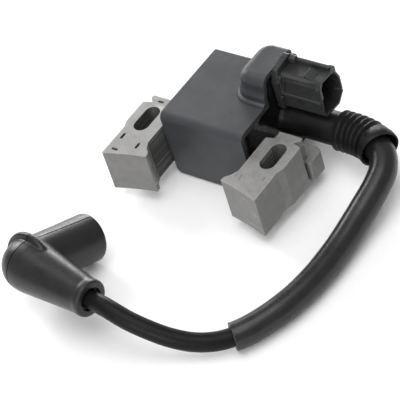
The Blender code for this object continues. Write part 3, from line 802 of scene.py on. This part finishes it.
def potting():
    """The epoxy face: level a little inside the rim, and climbing where it wets the walls."""
    level = RIM_X - 1.0
    back = SOCKET_LOW.x + 1.0
    inset = WALL + 0.05
    front, back_wall = CASE_FRONT + inset, CASE_REAR - inset
    low, high = CASE_FLOOR + inset, CASE_ROOF - inset
    corners = [(front, low), (back_wall, low), (back_wall, 12.0),
               (HOOD_BACK - inset, HOOD_TOP_Z - inset), (41.8, HOOD_TOP_Z - inset), (40.7, high),
               (front, high)]
    radii = [0.8, 0.8, 0.6, 0.9, 2.6, 2.2, 1.7]
    levels = [(back, 0.0), (level + 0.75, 0.0)]
    for k in range(1, 8):
        share = k / 7
        levels.append((level + 0.75 * (1 - share) ** 2.4, 2.3 * share))
    fill = sweep("epoxy_fill", corners, radii, levels, "X", 6)
    return show(fill, EPOXY, COIL, "epoxy", "potting", crease=60.0)


# ---------------------------------------------------------------- connector

MOUTH = [(48.3, 0.0), (47.0, 1.8), (47.2, 8.3), (47.8, 13.6), (49.8, 16.4), (58.6, 15.6),
         (60.9, 10.2), (60.9, 2.8), (57.0, -0.7)]
MOUTH_RADII = [0.8, 0.8, 2.0, 0.8, 0.8, 1.0, 0.8, 1.2, 0.8]
FLANGE = [(46.2, 0.4), (45.8, 13.0), (47.6, 18.6), (56.8, 19.4), (60.9, 16.0), (61.0, 1.6),
          (59.2, -0.5), (47.2, -0.5)]
MOUTH_X = 38.4


def bar_along_x(name, low, high, rounding=0.35, edge=0.2):
    levels = plain_levels(low[0], high[0], edge, edge)
    return sweep(name, box_corners(low[1:], high[1:]), rounding, levels, "X", 3)


def connector():
    """The socket housing: flange over the hood's mouth, ribbed body and open socket at +X."""
    inner = edge_levels(MOUTH_X, -1, 0.25, 0.0, 2)
    body = sweep("connector_shell", MOUTH, MOUTH_RADII,
                 [(18.0, -0.1), (19.5, -0.1)] + inner[::-1]
                 + [(MOUTH_X, 0.75), (MOUTH_X - 0.3, 1.0), (22.6, 1.15)], "X", 4)
    extras = [sweep("flange", FLANGE, 1.2, plain_levels(17.4, 20.1, 0.2, 0.35, 3), "X", 4)]
    # the ridge at mid height and the frame of the panel over it, on the side towards the core
    extras.append(bar_along_x("ridge", (20.0, 46.6, 7.3), (37.9, 48.2, 8.4), 0.3))
    extras.append(bar_along_x("post", (20.0, 46.9, 8.0), (21.2, 49.0, 15.4), 0.3))
    extras.append(bar_along_x("end_post", (36.9, 47.1, 8.2), (37.9, 49.4, 14.4), 0.2))
    # top: rail along the back edge with a boss, and the latch wedge
    extras.append(bar_along_x("rail", (20.0, 56.6, 14.9), (36.9, 58.4, 17.5), 0.5))
    extras.append(bar_along_x("boss", (20.2, 55.4, 16.0), (22.8, 58.0, 18.7), 0.7))
    extras.append(bar_along_x("end_rail", (35.4, 57.9, 13.0), (37.6, 60.3, 15.8), 0.5))
    wedge = [(30.6, 15.0), (30.65, 17.6), (31.0, 17.8), (34.2, 16.35), (34.6, 15.0)]
    rings = [[datum(x, y, z) for x, z in rounded(wedge, 0.12, inset, 2)]
             for y, inset in ((49.7, 0.12), (49.85, 0.0), (54.2, 0.0), (54.35, 0.12))]
    extras.append(solid("latch", skin(rings)))
    # small pips on the flange, near its front edge
    for y, z in ((47.5, 15.6), (46.6, 13.6), (46.5, 6.2)):
        pip = [(19.9, 0.55), (20.5, 0.5), (20.75, 0.3)]
        extras.append(turned("pip", datum(0.0, y, z), (1, 0, 0), pip, 12))
    slit = bar_along_x("slit", (34.6, 59.0, 3.4), (39.5, 62.0, 4.2), 0.1)
    sunk = [(45.0, 8.9), (47.75, 8.9), (48.3, 13.3), (49.3, 15.0), (45.0, 15.0)]
    panel = sweep("panel", sunk, 0.1, [(22.0, 0), (36.4, 0)], "X")
    combined(body, [], [slit, panel])
    combined(body, extras)
    show(body, CONNECTOR, COIL, "connector_plastic", "connector_housing", crease=28.0)
    for pin in FRAME_PINS:
        connector_pin(pin)


FRAME_PINS = [f"connector_pin_{i}" for i in range(1, 5)]


def connector_pin(node_name):
    """A flat blade with a tapered tip."""
    low, high = (corner - datum(0, 0, 0) for corner in node_box(node_name))
    corners = box_corners(low.yz, high.yz)
    blade = sweep(f"{node_name}_blade", corners, 0.08,
                  [(low.x, 0.05), (low.x + 0.1, 0.0), (high.x - 1.6, 0.0), (high.x, 0.28)], "X", 2)
    return show(blade, SLOT_PAINT["tinned_brass"], COIL, "tinned_brass", node_name)


# ---------------------------------------------------------------- boot, sleeve and lead

BOOT_START = 8.4
BOOT_LENGTH = 42.2
BOOT_STRAIGHT = 22.2
BOOT_RIBS = 6
BOOT_PITCH = 2.4
SLEEVE_START = 46.9
SLEEVE_LENGTH = 103.8
SLEEVE_RINGS = 90


def boot():
    """Flared root in the epoxy, smooth stub, six bellows and the cup over the sleeve."""
    profile = [(BOOT_START - 1.6, 7.6), (BOOT_START - 1.1, 7.4), (BOOT_START - 0.5, 6.95),
               (BOOT_START + 0.6, 6.72)]
    profile += [(BOOT_START + d, 6.7) for d in (6.0, 12.0, 18.0, 21.6)]
    start = BOOT_START + BOOT_STRAIGHT
    shape = ((0.0, 6.7), (0.14, 6.75), (0.30, 7.6), (0.40, 8.0), (0.54, 8.05), (0.64, 7.75),
             (0.86, 6.8))
    for i in range(BOOT_RIBS):
        profile += [(start + (i + share) * BOOT_PITCH, radius) for share, radius in shape]
    end = start + BOOT_RIBS * BOOT_PITCH
    tip = BOOT_START + BOOT_LENGTH
    profile += [(end, 6.75), (end + 0.3, 7.2), (end + 0.7, 7.8), (tip - 2.0, 8.15),
                (tip - 0.4, 8.2), (tip - 0.08, 8.08), (tip, 7.8), (tip - 0.1, 7.5),
                (tip - 0.5, 7.3), (tip - 3.5, 6.3), (tip - 6.5, 5.6), (tip - 6.7, 3.9)]
    made = sleeve_like("lead_boot_bellows", profile, 56)
    return show(made, BOOT_RUBBER, COIL, "black_rubber", "lead_boot", crease=50.0, weighted=False)


def sleeve():
    """Thick outer sleeve, faintly uneven, with a cut end that stands a little open."""
    end = SLEEVE_START + SLEEVE_LENGTH
    distances = [SLEEVE_START + SLEEVE_LENGTH * i / SLEEVE_RINGS for i in range(SLEEVE_RINGS)]
    profile = [(SLEEVE_START, 4.5), (SLEEVE_START, 5.3)]
    profile += [(d + 0.3, 5.42 + 0.05 * math.sin(d * 0.35) * math.sin(d * 0.11)) for d in distances]
    profile += [(end - 0.35, 5.47), (end - 0.1, 5.44), (end, 5.3), (end, 4.75),
                (end - 0.2, 4.6), (end - 6.0, 4.45)]
    made = sleeve_like("lead_outer_sleeve", profile, 48)
    return show(made, SLEEVE_RUBBER, COIL, "sleeve_rubber", "lead_sleeve", crease=50.0,
                weighted=False)


def lead():
    wire = bpy.data.curves.new("ht_lead_wire", "CURVE")
    wire.dimensions = "3D"
    wire.bevel_depth = LEAD_RADIUS * MM
    wire.bevel_resolution = 8
    wire.use_fill_caps = True
    line = wire.splines.new("POLY")
    count = round(LEAD_LENGTH / 1.8)
    line.points.add(count)
    for i, spot in enumerate(line.points):
        spot.co = (*(on_route(LEAD_LENGTH * i / count)[0] * MM), 1.0)
    line.use_smooth = True
    made = bpy.data.objects.new("ht_lead_wire", wire)
    bpy.context.scene.collection.objects.link(made)
    show(made, JACKET, COIL, "lead_jacket", "ht_lead")
    return made


# ---------------------------------------------------------------- plug cap

PARTING_GROOVE = 0.45  # width and depth
NECK_END = datum(3.03, -60.6, -5.4)


def parting_slab(thickness):
    """A thin plate square to the neck, in the plane where the mould parts."""
    across = NECK_WAY.cross(MOUTH_WAY).normalized()
    middle = ELBOW - NECK_WAY * 0.4
    along = (MOUTH_WAY + NECK_WAY * 0.05).normalized()
    rings = []
    for side in (-1, 1):
        rings.append([middle + NECK_WAY * side * thickness / 2 + across * a + along * b
                      for a, b in ((-40, -40), (40, -40), (40, 40), (-40, 40))])
    return solid("slab", skin(rings))


def cap_copy(cap, grow):
    """The cap's shape with its surface moved out by grow."""
    shape = bmesh.new()
    shape.from_mesh(cap.data)
    shape.normal_update()
    moves = [(v, v.normal.copy()) for v in shape.verts]
    for vertex, normal in moves:
        vertex.co += normal * grow * MM
    return shape


def plug_cap():
    neck_length = (NECK_END - ELBOW).length
    lip = [(neck_length - 4.0, 7.2), (neck_length - 2.8, 7.4), (neck_length - 1.2, 7.35),
           (neck_length - 0.7, 7.1), (neck_length - 0.6, 6.8)]
    dome = [(-10.4 * math.cos(a), max(10.4 * math.sin(a), 0.6))
            for a in [math.pi / 2 * k / 12 for k in range(13)]]
    dome[-1] = (0.0, 10.4)
    shoulder = [(2.5, 10.38), (6.0, 10.0), (12.0, 9.25), (20.0, 8.3), (27.0, 7.5)]
    cap = turned("plug_cap_rubber", ELBOW, NECK_WAY, dome + shoulder + lip)
    arm = [(-0.7, 11.9), (-0.5, 12.4), (0.0, 12.75), (1.3, 12.75), (1.8, 12.45), (2.0, 11.9),
           (2.2, 10.6), (3.0, 10.1), (6.0, 9.95), (16.0, 9.8), (MOUTH_LENGTH - 1.0, 9.7),
           (MOUTH_LENGTH - 0.4, 9.55), (MOUTH_LENGTH, 9.1)]
    combined(cap, [turned("arm", ELBOW, MOUTH_WAY, arm)])
    blend = cap.modifiers.new("blend", "REMESH")
    blend.mode = "VOXEL"
    blend.voxel_size = 0.38 * MM
    relax = cap.modifiers.new("relax", "SMOOTH")
    relax.factor = 0.5
    relax.iterations = 7
    settle(cap)
    groove = parting_slab(PARTING_GROOVE)
    core_shape = solid("inner", cap_copy(cap, -PARTING_GROOVE))
    combined(groove, cut=[core_shape])
    mouth_bore = [(0.0, 6.5), (MOUTH_LENGTH - 3.4, 6.7), (MOUTH_LENGTH - 2.4, 7.6),
                  (MOUTH_LENGTH - 1.0, 8.0)]
    lead_bore = [(0.0, 4.0), (neck_length - 2.4, 4.0), (neck_length - 2.3, 4.7),
                 (neck_length + 1, 4.9)]
    cuts = [groove,
            turned("mouth_bore", ELBOW + MOUTH_WAY * 2.0, MOUTH_WAY, mouth_bore),
            turned("terminal_bore", ELBOW - MOUTH_WAY * 4.5, MOUTH_WAY, [(0.0, 4.0), (7.5, 4.0)]),
            turned("lead_bore", ELBOW, NECK_WAY, lead_bore)]
    combined(cap, cut=cuts)
    return show(cap, CAP_RUBBER, CAP, "black_rubber", "plug_cap_boot", crease=42.0, weighted=False)


# ---------------------------------------------------------------- the scene

studio()
lights()
floor()

CASE = case_plastic()
CONNECTOR = connector_plastic()
EPOXY = epoxy()
STEEL = core_steel()
CAP_RUBBER = rubber("cap_rubber", 0.009, 0.017, 0.36, 0.05, 0.38)
BOOT_RUBBER = rubber("boot_rubber", 0.005, 0.009, 0.44, 0.02, 0.22)
SLEEVE_RUBBER = rubber("sleeve_rubber", 0.008, 0.014, 0.32, 0.03, 0.45)
JACKET = rubber("lead_jacket", 0.004, 0.007, 0.42, 0.02, 0.14)
SLOT_PAINT = {
    "core_steel": STEEL,
    "case_plastic": CASE,
    "epoxy": EPOXY,
    "connector_plastic": CONNECTOR,
    "black_rubber": CAP_RUBBER,
    "sleeve_rubber": SLEEVE_RUBBER,
    "lead_jacket": JACKET,
    "tinned_brass": metal("tinned_brass", (0.52, 0.51, 0.48), (0.70, 0.69, 0.66), 0.28),
    "brass": metal("turned_brass", (0.55, 0.36, 0.12), (0.75, 0.54, 0.22), 0.28),
    "enamelled_copper": wound_copper(),
    "bobbin_plastic": moulded("bobbin_plastic", (0.50, 0.46, 0.34), (0.62, 0.58, 0.45), 0.45),
    "ferrite": moulded("ferrite", (0.035, 0.034, 0.036), (0.07, 0.068, 0.07), 0.62, 0.4, 0.04),
    "component_body": moulded("component_body", (0.018, 0.018, 0.02), (0.03, 0.03, 0.033), 0.4),
    "circuit_laminate": board(),
    "ceramic": moulded("ceramic", (0.62, 0.59, 0.52), (0.74, 0.72, 0.66), 0.32, 0.5, 0.03),
    "spring_steel": metal("spring_steel", (0.42, 0.42, 0.42), (0.62, 0.62, 0.61), 0.25),
}
for part in RECORD["subparts"]:
    shown = frame["nodes"][part["node"]]
    shown.data.materials.clear()
    shown.data.materials.append(SLOT_PAINT[part["material_slot"]])

core()
coil_case()
potting()
connector()
BOOT = boot()
SLEEVE = sleeve()
LEAD = lead()
CAP_BOOT = plug_cap()
